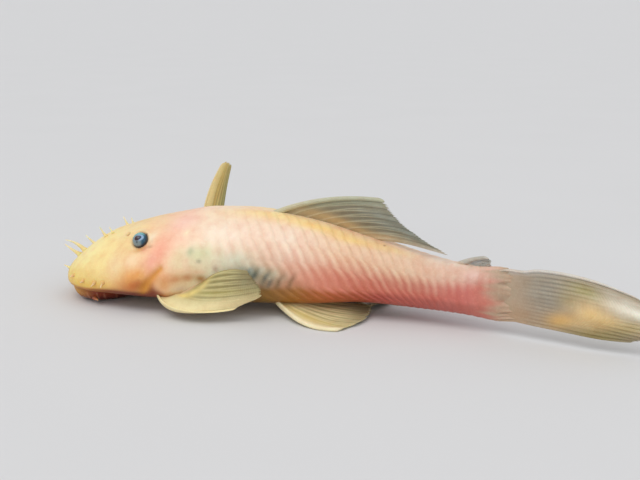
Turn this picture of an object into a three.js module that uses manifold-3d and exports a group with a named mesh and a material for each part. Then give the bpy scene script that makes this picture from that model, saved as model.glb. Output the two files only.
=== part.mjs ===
// A long-finned albino bristlenose pleco at life size, at rest on its lips and fins.
// The fish faces -X, its left flank faces -Y, and the floor is the plane Z = 0.
// The origin is on the floor, where the hind edge of the lips lies flat.
import * as THREE from "three";
import { mergeVertices } from "three/addons/utils/BufferGeometryUtils.js";
import Module from "manifold-3d";

const wasm = await Module();
wasm.setup();

// Driving dimensions, in millimetres
const STANDARD_LENGTH = 105; // snout tip to the base of the tail fin
const RIDE_HEIGHT = 2; // how far the belly line rides above the floor
const GAP = 0.3; // free space between neighbouring pieces
const MEMBRANE = 0.55; // thickness of a fin between its rays
const RAY = 0.95; // thickness of a soft ray where it leaves the body
const RAY_TIP = 0.62; // thickness of a soft ray at its end
const EYE_RADIUS = 2.05;
const VALLEY_REACH = 0.97; // length of the skin between two rays, as a share of the rays
const PLATE_RISE = 0.5; // how far the rear edge of a body plate stands up
const PLATE_STEP = 0.35; // length of the drop from one plate to the next
const TENTACLE_ROOT = 0.48; // radius of a tentacle at the skin
const TENTACLE_TIP = 0.24;

// Places below are shares of the standard length: along, across, and up from the belly
// line. The share along is measured down the middle line from the snout tip.
const ORIGIN_AT = 0.15;
const NOSE_LENGTH = 0.12; // the stretch over which the snout rounds off
const NOSE_HEIGHT = 0.028; // height of the foremost point
const HEAD_END = 0.268; // the cut behind the gill covers
const TRUNK_END = 0.715; // the cut behind the anal fin
const PLATES_START = 0.315;
const PLATES_END = 0.985;
const PLATE_COUNT = 28; // in each row
const PLATE_SLANT = 0.105; // how far a plate edge runs back from spine to flank

// Outline of the body: half width, height of the back, height of the belly,
// and the height at which the body is widest.
const STATIONS = [
  { at: 0.0, halfWidth: 0.127, back: 0.078, belly: 0.006, waist: 0.028 },
  { at: 0.06, halfWidth: 0.136, back: 0.104, belly: 0.005, waist: 0.028 },
  { at: 0.12, halfWidth: 0.147, back: 0.13, belly: 0.004, waist: 0.03 },
  { at: 0.2, halfWidth: 0.156, back: 0.156, belly: 0.002, waist: 0.038 },
  { at: 0.28, halfWidth: 0.158, back: 0.175, belly: 0, waist: 0.047 },
  { at: 0.37, halfWidth: 0.145, back: 0.188, belly: -0.003, waist: 0.053 },
  { at: 0.46, halfWidth: 0.126, back: 0.19, belly: -0.003, waist: 0.058 },
  { at: 0.58, halfWidth: 0.099, back: 0.175, belly: -0.001, waist: 0.06 },
  { at: 0.7, halfWidth: 0.073, back: 0.149, belly: 0.01, waist: 0.067 },
  { at: 0.82, halfWidth: 0.05, back: 0.124, belly: 0.011, waist: 0.067 },
  { at: 0.93, halfWidth: 0.03, back: 0.113, belly: 0.012, waist: 0.063 },
  { at: 1.0, halfWidth: 0.013, back: 0.12, belly: 0.008, waist: 0.064 },
];
const BACK_ROUNDNESS = 2.05; // superellipse power above the waist
const BELLY_ROUNDNESS = 3.2; // and below it, where the fish is flat

// The middle line bends to the left in the tail stalk, and back in the tail fin.
const BENDS = [
  { from: 0.55, to: 0.95, turn: -20 },
  { from: 1.02, to: 1.26, turn: 12 },
];

// Edges of the five plate rows, in degrees up from the widest point of a side.
const ROW_EDGES_TRUNK = [-38, -4, 20, 42, 64, 85];
const ROW_EDGES_TAIL = [-80, -42, -10, 22, 54, 85];
const ROW_STEPS = 3; // faces across one row
const BELLY_STEPS = 4; // faces from the belly line to the lowest row
const ROW_PROFILE = [0.3, 1, 0.9]; // relief across a row, from its lower edge

// Soft swellings and hollows of the skin, on both sides.
const SWELLINGS = [
  { name: "gill cover", at: 0.215, angle: 4, rise: 0.9, along: 0.035, around: 22 },
  { name: "brow", at: 0.2, angle: 62, rise: 0.5, along: 0.03, around: 12 },
  { name: "shoulder", at: 0.3, angle: -4, rise: 1.1, along: 0.022, around: 24 },
  { name: "armpit", at: 0.365, angle: -6, rise: -1.3, along: 0.032, around: 20 },
  { name: "snout pad", at: 0.045, angle: -8, rise: 0.5, along: 0.045, around: 26 },
  { name: "nape", at: 0.33, angle: 90, rise: 0.35, along: 0.04, around: 22 },
];

const EYE = { at: 0.22, angle: 47, depth: 0.8, rim: 0.45 };
const GILL_SLIT = { low: 0.238, high: 0.29, radius: 0.42 };
const NOSTRIL = { at: 0.182, angle: 56, radius: 0.65 };

// Soft tentacles: place, length in millimetres, lean above the floor in degrees, and how
// far the tip curls up. The longest one grows on the left side only.
const TENTACLES = [
  { at: 0.035, angle: 63, length: 4.3, lean: 26, curl: 0.08 },
  { at: 0.052, angle: 64, length: 6.6, lean: 42, curl: -0.32, leftOnly: true },
  { at: 0.11, angle: 68, length: 2.6, lean: 50, curl: 0.1 },
  { at: 0.126, angle: 70, length: 1.6, lean: 52, curl: 0.1 },
  { at: 0.022, angle: 26, length: 1.5, lean: 20, curl: 0.1 },
  { at: 0.06, angle: 10, length: 1.3, lean: 15, curl: 0.1 },
  { at: 0.095, angle: 5, length: 1.2, lean: 10, curl: 0.1 },
  { at: 0.127, angle: 2, length: 1.2, lean: 5, curl: 0.1 },
  { at: 0.15, angle: 1, length: 1, lean: 5, curl: 0.1 },
];

// The lips: where their middle lies, their reach along and across, and in millimetres
// the height of their upper edge and the radius of the mouth.
const MOUTH = { at: 0.1, reach: 0.08, halfWidth: 0.124, top: 4, opening: 2.4 };

// Paints of the pieces
const PAINT = {
  skin: { color: 0xe9c4a2, roughness: 0.5 },
  snout: { color: 0xe8d492, roughness: 0.5 },
  stalk: { color: 0xdd9a86, roughness: 0.5 },
  fin: { color: 0xdccb92, roughness: 0.45 },
  lips: { color: 0xe6b59a, roughness: 0.55 },
  eye: { color: 0x1f5f7a, roughness: 0.15 },
};

const mm = (share) => share * STANDARD_LENGTH;
const radians = THREE.MathUtils.degToRad;

// A smooth curve through one column of the station table.
function outline(key, at) {
  const last = STATIONS.length - 1;
  const found = STATIONS.findIndex((row) => row.at > at) - 1;
  const i = found < 0 ? last - 1 : found;
  const here = STATIONS[i];
  const next = STATIONS[i + 1];
  const slope = (j) => {
    const a = STATIONS[Math.max(j - 1, 0)];
    const b = STATIONS[Math.min(j + 1, last)];
    return (b[key] - a[key]) / (b.at - a.at);
  };
  const span = next.at - here.at;
  const t = THREE.MathUtils.clamp((at - here.at) / span, 0, 1);
  const rise = next[key] - here[key];
  const bow = (1 - t) * (slope(i) * span - rise) - t * (slope(i + 1) * span - rise);
  return here[key] + t * rise + t * (1 - t) * bow;
}

// Point of the middle line on the floor, and the heading there.
function axisAt(at) {
  const point = new THREE.Vector2(-mm(ORIGIN_AT), 0);
  let heading = 0;
  let done = 0;
  const walk = (length, turn) => {
    const chord = turn ? (2 * length * Math.sin(turn / 2)) / turn : length;
    const aim = heading + turn / 2;
    point.x += mm(chord) * Math.cos(aim);
    point.y += mm(chord) * Math.sin(aim);
    heading += turn;
    done += length;
  };
  for (const bend of BENDS) {
    if (at <= bend.from) break;
    walk(bend.from - done, 0);
    const stop = Math.min(at, bend.to);
    const share = (stop - bend.from) / (bend.to - bend.from);
    walk(stop - bend.from, radians(bend.turn) * share);
  }
  walk(at - done, 0);
  return { point, heading };
}

// A place given along, across and up becomes a point in millimetres.
function place(at, side, up) {
  const { point, heading } = axisAt(at);
  return new THREE.Vector3(
    point.x - mm(side) * Math.sin(heading),
    point.y + mm(side) * Math.cos(heading),
    mm(up) + RIDE_HEIGHT,
  );
}

const signedPower = (x, power) => Math.sign(x) * Math.abs(x) ** power;
const bell = (x) => Math.exp(-x * x);
const easeIn = (x) => THREE.MathUtils.smoothstep(x, 0, 1);

// Height above the waist of a side, from 90 on the back to -90 on the belly.
const sideAngle = (angle) => (angle > 90 ? 180 - angle : angle);

// Cross-section at a station: side and height for an angle round the body.
function section(at, angle) {
  const nose = at < NOSE_LENGTH ? Math.sqrt(1 - (1 - at / NOSE_LENGTH) ** 2) : 1;
  const soften = (value) => NOSE_HEIGHT + (value - NOSE_HEIGHT) * nose;
  const waist = soften(outline("waist", at));
  const low = sideAngle(angle) < 0;
  const rim = soften(outline(low ? "belly" : "back", at));
  const power = 2 / (low ? BELLY_ROUNDNESS : BACK_ROUNDNESS);
  const c = Math.cos(radians(angle));
  const s = Math.abs(Math.sin(radians(angle)));
  return new THREE.Vector2(
    outline("halfWidth", at) * nose * signedPower(c, power),
    waist + (rim - waist) * s ** power,
  );
}

function swelling(at, angle) {
  const side = sideAngle(angle);
  return SWELLINGS.reduce(
    (sum, s) => sum + s.rise * bell((at - s.at) / s.along) * bell((side - s.angle) / s.around),
    0,
  );
}

// A point of the skin, pushed out square to its cross-section and kept off the floor.
function skinPoint(at, angle, lift = 0) {
  const step = 1.5; // degrees, for the slope of the section
  const p = section(at, angle);
  const after = section(at, Math.min(angle + step, 269.9));
  const slope = after.sub(section(at, Math.max(angle - step, -89.9)));
  const out = new THREE.Vector2(slope.y, -slope.x).normalize();
  const rise = (lift + swelling(at, angle) * easeIn(at / 0.03)) / STANDARD_LENGTH;
  const point = place(at, p.x + out.x * rise, p.y + out.y * rise);
  point.z = Math.max(point.z, 0);
  return point;
}

// Angles of the lines that run along the body, from belly line to belly line.
function lines(at) {
  const toTail = THREE.MathUtils.smoothstep(at, 0.55, 0.85);
  const { lerp } = THREE.MathUtils;
  const edges = ROW_EDGES_TRUNK.map((edge, i) => lerp(edge, ROW_EDGES_TAIL[i], toTail));
  const half = [];
  for (let i = 0; i < BELLY_STEPS; i++) {
    half.push({ angle: lerp(-90, edges[0], i / BELLY_STEPS), relief: 0 });
  }
  for (let row = 0; row < edges.length - 1; row++) {
    for (let i = 0; i < ROW_STEPS; i++) {
      const angle = lerp(edges[row], edges[row + 1], i / ROW_STEPS);
      half.push({ angle, relief: ROW_PROFILE[i] });
    }
  }
  half.push({ angle: edges.at(-1), relief: ROW_PROFILE[0] });
  const back = { angle: 90, relief: 0.2 };
  const other = half.slice(1).reverse();
  return [...half, back, ...other.map((line) => ({ ...line, angle: 180 - line.angle }))];
}

// How far back the edge of a plate lies at an angle, against the back line.
function slant(at, angle) {
  const { smoothstep } = THREE.MathUtils;
  const hump = smoothstep(at, 0.3, 0.52) * (1 - smoothstep(at, 0.6, 0.98) * 0.95);
  return PLATE_SLANT * hump * (0.6 - Math.max(sideAngle(angle), -40) / 90);
}

// Stations of the rings, each with its share of the plate relief.
function rings() {
  const made = [];
  const headRings = 20;
  for (let i = 1; i <= headRings; i++) {
    const t = i / headRings;
    made.push({ at: PLATES_START * (0.25 * t + 0.75 * t * t), relief: 0 });
  }
  const pitch = (PLATES_END - PLATES_START) / PLATE_COUNT;
  for (let i = 0; i < PLATE_COUNT; i++) {
    const front = PLATES_START + i * pitch;
    const fade = easeIn(0.35 + i / 5) * (1 - 0.4 * (i / PLATE_COUNT));
    made.push({ at: front + pitch - PLATE_STEP / STANDARD_LENGTH, relief: fade });
    made.push({ at: front + pitch, relief: 0 });
  }
  return made;
}

// Whole body as one closed surface, grown by some millimetres on all sides.
function bodySurface(grown = 0) {
  const count = lines(0).length;
  const positions = [];
  const index = [];
  const add = (p) => positions.push(p.x, p.y, p.z);
  add(place(-grown / STANDARD_LENGTH, 0, NOSE_HEIGHT));
  const all = [...rings(), { at: 1 + grown / STANDARD_LENGTH, relief: 0, flat: true }];
  for (const ring of all) {
    for (const line of lines(ring.at)) {
      const at = ring.at + (ring.flat ? 0 : slant(ring.at, line.angle));
      add(skinPoint(at, line.angle, grown + PLATE_RISE * ring.relief * line.relief));
    }
  }
  add(place(1 + grown / STANDARD_LENGTH, 0, outline("waist", 1)));
  const end = all.length * count + 1;
  for (let j = 0; j < count; j++) {
    const k = (j + 1) % count;
    index.push(0, 1 + k, 1 + j);
    for (let i = 0; i < all.length - 1; i++) {
      const a = 1 + i * count;
      const b = a + count;
      index.push(a + j, a + k, b + k, a + j, b + k, b + j);
    }
    index.push(end, end - count + j, end - count + k);
  }
  return surface(positions, index);
}

function surface(positions, index) {
  const geometry = new THREE.BufferGeometry();
  geometry.setAttribute("position", new THREE.Float32BufferAttribute(positions, 3));
  geometry.setIndex(index);
  return geometry;
}

// A closed geometry becomes a solid that faces out.
function solid(geometry) {
  const bare = geometry.clone();
  for (const name of Object.keys(bare.attributes)) {
    if (name !== "position") bare.deleteAttribute(name);
  }
  const merged = mergeVertices(bare, 1e-4);
  const vertProperties = new Float32Array(merged.attributes.position.array);
  const make = (triVerts) => new wasm.Manifold(new wasm.Mesh({ numProp: 3, vertProperties, triVerts }));
  const triVerts = new Uint32Array(merged.index.array);
  const made = make(triVerts);
  return made.volume() > 0 ? made : make(triVerts.reverse());
}

const largest = (made) => made.decompose().reduce((a, b) => (b.volume() > a.volume() ? b : a));

function mesh(name, made, paint) {
  const { vertProperties, triVerts, numProp } = largest(made).getMesh();
  const positions = [];
  for (let i = 0; i < vertProperties.length; i += numProp) {
    positions.push(...vertProperties.slice(i, i + 3));
  }
  const material = new THREE.MeshStandardMaterial(paint);
  const shape = new THREE.Mesh(surface(positions, [...triVerts]), material);
  shape.name = name;
  shape.geometry.computeVertexNormals();
  return shape;
}

// A geometry moved so that its +Y axis points along a direction from a point.
function aimed(geometry, point, direction) {
  const up = new THREE.Vector3(0, 1, 0);
  const turn = new THREE.Quaternion().setFromUnitVectors(up, direction.clone().normalize());
  return geometry.applyQuaternion(turn).translate(point.x, point.y, point.z);
}

// A tapered tentacle that curves towards its tip, sunk into the skin at its root.
function tentacle(root, direction, length, curl) {
  const sunk = 1.2;
  const geometry = new THREE.CylinderGeometry(TENTACLE_TIP, TENTACLE_ROOT, length + sunk, 5, 3);
  geometry.translate(0, (length + sunk) / 2 - sunk, 0);
  aimed(geometry, root, direction);
  const spots = geometry.attributes.position;
  for (let i = 0; i < spots.count; i++) {
    const out = new THREE.Vector3().fromBufferAttribute(spots, i).sub(root).dot(direction);
    spots.setZ(i, spots.getZ(i) + (curl * Math.max(out, 0) ** 2) / length);
  }
  return solid(geometry);
}

function skinNormal(at, angle) {
  const step = 0.004;
  const across = skinPoint(at, angle + 2).sub(skinPoint(at, angle - 2));
  const along = skinPoint(at + step, angle).sub(skinPoint(at - step, angle));
  return across.cross(along).normalize();
}

const sides = { left: -1, right: 1 };

// Angles count from the right flank over the back, so a left one is turned round.
const onSide = (side, angle) => (side > 0 ? angle : 180 - angle);

const eyeCentre = (side) => skinPoint(EYE.at, onSide(side, EYE.angle), -EYE.depth);

// The tentacles of one side point forward and a little out.
function tentacles(side) {
  const grown = TENTACLES.filter(({ leftOnly }) => side === sides.left || !leftOnly);
  return grown.map(({ at, angle, length, lean, curl }) => {
    const round = onSide(side, angle);
    const up = Math.sin(radians(lean));
    const forward = new THREE.Vector3(-Math.cos(radians(lean)), 0.12 * side, up);
    const direction = skinNormal(at, round).multiplyScalar(0.3).add(forward).normalize();
    return tentacle(skinPoint(at, round), direction, length, curl);
  });
}

// The slit behind the cheek, a groove that climbs from the belly edge.
function gillSlit(side) {
  const stops = 5;
  const path = [];
  for (let i = 0; i < stops; i++) {
    const t = i / (stops - 1);
    const angle = THREE.MathUtils.lerp(-30, 16, t);
    const at = THREE.MathUtils.lerp(GILL_SLIT.low, GILL_SLIT.high, t * t);
    path.push(skinPoint(at, onSide(side, angle)));
  }
  const ring = new THREE.Shape().absarc(0, 0, GILL_SLIT.radius, 0, 2 * Math.PI);
  const curve = new THREE.CatmullRomCurve3(path);
  const groove = new THREE.ExtrudeGeometry(ring, { steps: 8, extrudePath: curve, curveSegments: 6 });
  return solid(groove);
}

// The hollow under the head that the lips lie in.
function lipSeat() {
  const deep = MOUTH.top + GAP;
  const seat = new THREE.CylinderGeometry(1, 1, 2 * deep, 28).rotateX(Math.PI / 2);
  seat.scale(mm(MOUTH.reach) + GAP, mm(MOUTH.halfWidth) + GAP, 1);
  const { x, y } = place(MOUTH.at, 0, 0);
  return solid(seat.translate(x, y, 0));
}

// The head gets a rim round each eye, a socket for it, two nostrils and its tentacles.
function dressHead(head) {
  let made = head;
  for (const side of Object.values(sides)) {
    const brow = onSide(side, EYE.angle);
    const rim = new THREE.TorusGeometry(EYE_RADIUS + GAP, EYE.rim, 6, 16).rotateX(Math.PI / 2);
    const seat = skinPoint(EYE.at, brow, -0.15);
    const socket = new THREE.SphereGeometry(EYE_RADIUS + GAP, 16, 10);
    socket.translate(...eyeCentre(side));
    made = made.add(solid(aimed(rim, seat, skinNormal(EYE.at, brow)))).subtract(solid(socket));
    made = made.subtract(gillSlit(side));
    const angle = onSide(side, NOSTRIL.angle);
    const spot = skinPoint(NOSTRIL.at, angle);
    const out = skinNormal(NOSTRIL.at, angle);
    const lip = new THREE.TorusGeometry(NOSTRIL.radius, 0.34, 5, 10).rotateX(Math.PI / 2);
    const pit = new THREE.SphereGeometry(NOSTRIL.radius - 0.2, 8, 6).translate(...spot);
    made = made.subtract(solid(pit)).add(solid(aimed(lip, spot, out)));
    for (const one of tentacles(side)) made = made.add(one);
  }
  return made.subtract(lipSeat());
}

// The lips are a sucker disc under the snout, open at the mouth, with a barbel each side.
function lips() {
  const centre = place(MOUTH.at, 0, 0);
  const scale = mm(MOUTH.halfWidth) / mm(MOUTH.reach);
  const radius = mm(MOUTH.reach);
  const profile = [
    [MOUTH.opening, MOUTH.top],
    [MOUTH.opening + 0.5, 0.9],
    [MOUTH.opening + 1.4, 0],
    [radius - 2.3, 0],
    [radius - 0.8, 0.3],
    [radius, 1.2],
    [radius - 0.4, 2.4],
    [radius - 0.8, MOUTH.top],
  ].map(([r, z]) => new THREE.Vector2(r, z));
  const disc = new THREE.LatheGeometry([...profile, profile[0]], 28);
  disc.rotateX(Math.PI / 2).scale(1, scale, 1).translate(centre.x, centre.y, 0);
  let made = solid(disc);
  for (const side of Object.values(sides)) {
    const root = new THREE.Vector3(centre.x + 1, side * (mm(MOUTH.halfWidth) - 0.6), 1.3);
    const barbel = new THREE.CylinderGeometry(0.28, 0.5, 3.2, 6, 1);
    barbel.translate(0, 1.2, 0);
    made = made.add(solid(aimed(barbel, root, new THREE.Vector3(0.9, side, 0.02))));
  }
  return made;
}

// Smooth curve through a few places, each given along, across and up.
function through(spots) {
  const stops = spots.map((spot) => new THREE.Vector3(...spot));
  return new THREE.CatmullRomCurve3(stops, false, "centripetal");
}

// A fin is a fan of rays. Each ray is a bow from the root line to the tip line,
// pulled towards the bow line. Rays stand up as ridges from the thin skin between.
function fin({ root, bow, tip, rays, spine, steps, spineTip = 0.8 }) {
  const [roots, bows, tips] = [root, bow, tip].map(through);
  const centre = (u, v) => {
    const a = roots.getPoint(u);
    const b = bows.getPoint(u);
    const c = tips.getPoint(u);
    a.multiplyScalar((1 - v) ** 2);
    a.addScaledVector(b, 2 * v * (1 - v)).addScaledVector(c, v * v);
    return place(a.x, a.y, a.z);
  };
  const normal = (u, v) => {
    const step = 0.01;
    const u0 = Math.max(u - step, 0);
    const u1 = Math.min(u + step, 1);
    const v0 = Math.max(v - step, 0);
    const v1 = Math.min(v + step, 1);
    const across = centre(u1, v).sub(centre(u0, v));
    const along = centre(u, v1).sub(centre(u, v0));
    return across.cross(along).normalize();
  };
  // The leading spine has an edge column, a crest and a foot.
  // Each soft ray has a crest and a valley.
  const spineShare = 0.6 / rays;
  const spineFoot = spineShare * 1.3;
  const columns = [
    { u: 0, base: spine * 0.55, end: spineTip * 0.7, reach: 1 },
    { u: spineShare * 0.5, base: spine, end: spineTip, reach: 1 },
    { u: spineFoot, base: MEMBRANE, end: MEMBRANE, reach: VALLEY_REACH },
  ];
  for (let i = 1; i < rays; i++) {
    const u = spineFoot + ((1 - spineFoot) * (i - 0.45)) / (rays - 1);
    columns.push({ u, base: RAY, end: RAY_TIP, reach: 1 });
    const valley = Math.min(u + (0.5 * (1 - spineShare)) / (rays - 1), 1);
    columns.push({ u: valley, base: MEMBRANE, end: MEMBRANE, reach: VALLEY_REACH });
  }
  columns.at(-1).u = 1;
  const faces = [1, -1].map((face) => {
    const rows = [];
    for (let i = 0; i <= steps; i++) {
      for (const column of columns) {
        const v = (i / steps) * column.reach;
        const half = THREE.MathUtils.lerp(column.base, column.end, v) / 2;
        const point = centre(column.u, v).addScaledVector(normal(column.u, v), face * half);
        point.z = Math.max(point.z, 0);
        rows.push(point);
      }
    }
    return rows;
  });
  const width = columns.length;
  const sheet = faces[0].length;
  const index = [];
  const quad = (a, b, c, d) => index.push(a, b, c, a, c, d);
  for (let i = 0; i < steps; i++) {
    for (let j = 0; j < width - 1; j++) {
      const a = i * width + j;
      quad(a, a + 1, a + width + 1, a + width);
      index.push(sheet + a, sheet + a + width + 1, sheet + a + 1);
      index.push(sheet + a, sheet + a + width, sheet + a + width + 1);
    }
    const near = i * width;
    const far = near + width - 1;
    quad(near, near + width, sheet + near + width, sheet + near);
    quad(far, sheet + far, sheet + far + width, far + width);
  }
  for (let j = 0; j < width - 1; j++) {
    const last = steps * width + j;
    quad(j, sheet + j, sheet + j + 1, j + 1);
    quad(last, last + 1, sheet + last + 1, sheet + last);
  }
  const positions = faces.flat().flatMap((p) => [p.x, p.y, p.z]);
  return solid(surface(positions, index));
}

const mirrored = (spots, spread = 1) => spots.map(([at, side, up]) => [at, -side * spread, up]);

const DORSAL_FIN = {
  rays: 8,
  spine: 1.7,
  steps: 9,
  root: [[0.464, 0, 0.178], [0.59, 0, 0.162], [0.7, 0, 0.138]],
  bow: [[0.585, -0.004, 0.238], [0.685, -0.01, 0.198], [0.78, -0.016, 0.15]],
  tip: [[0.735, -0.006, 0.232], [0.787, -0.016, 0.184], [0.895, -0.018, 0.13]],
};
const ADIPOSE_FIN = {
  rays: 2,
  spine: 1.2,
  steps: 4,
  root: [[0.893, 0, 0.11], [0.925, 0, 0.108], [0.96, 0, 0.108]],
  bow: [[0.93, 0.001, 0.136], [0.945, 0.001, 0.128], [0.968, 0, 0.116]],
  tip: [[0.965, 0.002, 0.146], [0.978, 0.002, 0.137], [0.98, 0, 0.123]],
};
const ANAL_FIN = {
  rays: 5,
  spine: 0.95,
  steps: 6,
  root: [[0.655, 0.004, 0.022], [0.672, 0, 0.024], [0.69, -0.004, 0.026]],
  bow: [[0.705, 0.016, 0.001], [0.715, 0.006, 0.002], [0.73, -0.004, 0.003]],
  tip: [[0.765, 0.032, 0.003], [0.785, 0.016, 0.004], [0.775, -0.004, 0.005]],
};
const CAUDAL_FIN = {
  rays: 15,
  spine: 1.5,
  steps: 12,
  root: [[0.985, 0, 0.112], [0.985, 0, 0.064], [0.985, 0, 0.016]],
  bow: [[1.146, 0.004, 0.15], [1.16, -0.006, 0.072], [1.12, 0.002, 0.006]],
  tip: [[1.275, 0.008, 0.09], [1.345, -0.006, 0.044], [1.27, 0.002, 0.006]],
};
const LEFT_PECTORAL = {
  rays: 7,
  spine: 2.4,
  spineTip: 1.1,
  steps: 9,
  root: [[0.262, -0.13, 0.022], [0.282, -0.136, 0.03], [0.302, -0.134, 0.04]],
  bow: [[0.33, -0.255, -0.014], [0.37, -0.215, 0.008], [0.395, -0.165, 0.064]],
  tip: [[0.49, -0.145, 0.014], [0.512, -0.15, 0.044], [0.476, -0.146, 0.084]],
};
const RIGHT_PECTORAL = {
  rays: 7,
  spine: 2.2,
  spineTip: 1,
  steps: 9,
  root: [[0.256, 0.13, 0.03], [0.276, 0.134, 0.036], [0.296, 0.132, 0.042]],
  bow: [[0.196, 0.26, 0.14], [0.232, 0.25, 0.13], [0.27, 0.235, 0.115]],
  tip: [[0.25, 0.3, 0.24], [0.276, 0.28, 0.237], [0.289, 0.26, 0.205]],
};
const LEFT_PELVIC = {
  rays: 6,
  spine: 1.5,
  steps: 8,
  root: [[0.498, -0.06, 0.014], [0.512, -0.053, 0.013], [0.53, -0.042, 0.012]],
  bow: [[0.598, -0.192, -0.02], [0.63, -0.118, -0.018], [0.625, -0.045, -0.01]],
  tip: [[0.7, -0.16, -0.015], [0.742, -0.094, -0.015], [0.72, -0.02, -0.012]],
};
const RIGHT_PELVIC = {
  ...LEFT_PELVIC,
  root: mirrored(LEFT_PELVIC.root),
  bow: mirrored(LEFT_PELVIC.bow, 0.92),
  tip: mirrored(LEFT_PELVIC.tip, 0.9),
};

// A thin cut square to the middle line.
function cut(at) {
  const size = STANDARD_LENGTH;
  const { point, heading } = axisAt(at);
  const slab = new THREE.BoxGeometry(GAP, size, size).rotateZ(heading);
  return solid(slab.translate(point.x, point.y, 0));
}

const fish = new THREE.Group();
fish.name = "bristlenose_pleco";

const whole = solid(bodySurface());
const clearance = solid(bodySurface(GAP));
const parted = whole.subtract(cut(HEAD_END)).subtract(cut(TRUNK_END)).decompose();
const [head, trunk, stalk] = parted.sort((a, b) => a.boundingBox().min[0] - b.boundingBox().min[0]);

fish.add(mesh("head", dressHead(head), PAINT.snout));
fish.add(mesh("trunk", trunk, PAINT.skin));
fish.add(mesh("tail_stalk", stalk, PAINT.stalk));
fish.add(mesh("lips", lips(), PAINT.lips));
for (const [name, side] of Object.entries(sides)) {
  const ball = new THREE.SphereGeometry(EYE_RADIUS, 16, 10).translate(...eyeCentre(side));
  fish.add(mesh(`eye_${name}`, solid(ball), PAINT.eye));
}
const fins = {
  dorsal_fin: DORSAL_FIN,
  adipose_fin: ADIPOSE_FIN,
  anal_fin: ANAL_FIN,
  tail_fin: CAUDAL_FIN,
  pectoral_fin_left: LEFT_PECTORAL,
  pectoral_fin_right: RIGHT_PECTORAL,
  pelvic_fin_left: LEFT_PELVIC,
  pelvic_fin_right: RIGHT_PELVIC,
};
for (const [name, shape] of Object.entries(fins)) {
  fish.add(mesh(name, fin(shape).subtract(clearance), PAINT.fin));
}

export default fish;
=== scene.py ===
from math import cos, pi, radians, sin
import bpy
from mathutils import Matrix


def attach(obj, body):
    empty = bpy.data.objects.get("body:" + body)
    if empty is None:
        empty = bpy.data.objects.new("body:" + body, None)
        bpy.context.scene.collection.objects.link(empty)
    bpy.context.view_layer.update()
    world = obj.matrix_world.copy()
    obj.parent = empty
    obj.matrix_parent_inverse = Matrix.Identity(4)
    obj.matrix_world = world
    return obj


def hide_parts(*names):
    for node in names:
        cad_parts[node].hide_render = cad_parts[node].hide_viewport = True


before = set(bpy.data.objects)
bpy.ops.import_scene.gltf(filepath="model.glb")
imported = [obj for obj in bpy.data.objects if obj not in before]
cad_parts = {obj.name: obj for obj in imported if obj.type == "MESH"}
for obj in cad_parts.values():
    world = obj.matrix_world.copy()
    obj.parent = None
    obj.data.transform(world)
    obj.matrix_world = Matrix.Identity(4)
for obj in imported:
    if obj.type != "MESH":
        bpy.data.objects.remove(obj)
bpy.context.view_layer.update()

from types import SimpleNamespace

import bpy
import numpy as np
from mathutils import Matrix, Vector

# The fish faces -X and its left flank faces -Y. Lengths are in millimetres, and places on
# the body are shares of the standard length, as in the part's own source.
MM = 0.001
STANDARD_LENGTH = 105.0
RIDE_HEIGHT = 2.0
ORIGIN_AT = 0.15
NOSE_LENGTH = 0.12
NOSE_HEIGHT = 0.028
PLATES_START = 0.315
PLATES_END = 0.985
PLATE_COUNT = 28
PLATE_PITCH = (PLATES_END - PLATES_START) / PLATE_COUNT
PLATE_SLANT = 0.105
PLATE_RISE = 0.4  # millimetres
PLATE_TOP = 0.66  # share of a plate's length at which it stands highest
SCALLOP = 0.19  # how far a plate bulges at its rear edge, as a share of its length
EYE_RADIUS = 1.95
EYE_SHOWN = 68  # degrees from the gaze to the rim of what shows of an eyeball
LEFT, RIGHT = -1, 1
# Steps over which slopes are taken, in degrees and in shares
ANGLE_STEP, PLACE_STEP, FAN_STEP = 2.0, 0.004, 0.004
SPINE_LINES = 14
NOTCH = 0.03  # depth of the notches between the rays, as a share of a fin's length
MERGE_DISTANCE = 0.000004

# Place, half width, back, belly and waist height of the body
STATIONS = np.array([
    (0.0, 0.127, 0.078, 0.006, 0.028),
    (0.06, 0.136, 0.104, 0.005, 0.028),
    (0.12, 0.147, 0.13, 0.004, 0.03),
    (0.2, 0.156, 0.156, 0.002, 0.038),
    (0.28, 0.158, 0.175, 0.0, 0.047),
    (0.37, 0.145, 0.188, -0.003, 0.053),
    (0.46, 0.126, 0.19, -0.003, 0.058),
    (0.58, 0.099, 0.175, -0.001, 0.06),
    (0.7, 0.073, 0.149, 0.01, 0.067),
    (0.82, 0.05, 0.124, 0.011, 0.067),
    (0.93, 0.03, 0.113, 0.012, 0.063),
    (1.0, 0.013, 0.12, 0.008, 0.064),
])
HALF_WIDTH, BACK, BELLY, WAIST = 1, 2, 3, 4
BACK_ROUNDNESS = 2.05
BELLY_ROUNDNESS = 3.2
# Bends of the middle line: where each starts and stops, and its turn in degrees
BENDS = ((0.55, 0.95, -20.0), (1.02, 1.26, 12.0))
# Angles at the edges of the rows of plates, from the belly to the back
ROW_EDGES_TRUNK = np.array((-38.0, -4, 20, 42, 64, 85))
ROW_EDGES_TAIL = np.array((-80.0, -42, -10, 22, 54, 85))

# Swellings and hollows of the skin: place, angle, rise in millimetres, reach along and around
SWELLINGS = (
    (0.215, 4, 0.9, 0.035, 22), (0.2, 62, 0.5, 0.03, 12), (0.3, -4, 1.1, 0.022, 24),
    (0.365, -6, -1.3, 0.032, 20), (0.045, -8, 0.5, 0.045, 26), (0.33, 90, 0.35, 0.04, 22),
)
EYE_AT, EYE_ANGLE, EYE_DEPTH, EYE_COLLAR = 0.22, 47.0, 0.5, 0.3
NOSTRIL_AT, NOSTRIL_ANGLE = 0.182, 56.0
# The fold behind the cheek: place and angle
GILL_FOLD = ((0.239, -24), (0.246, -10), (0.257, 2), (0.27, 8), (0.286, 14))
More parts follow.
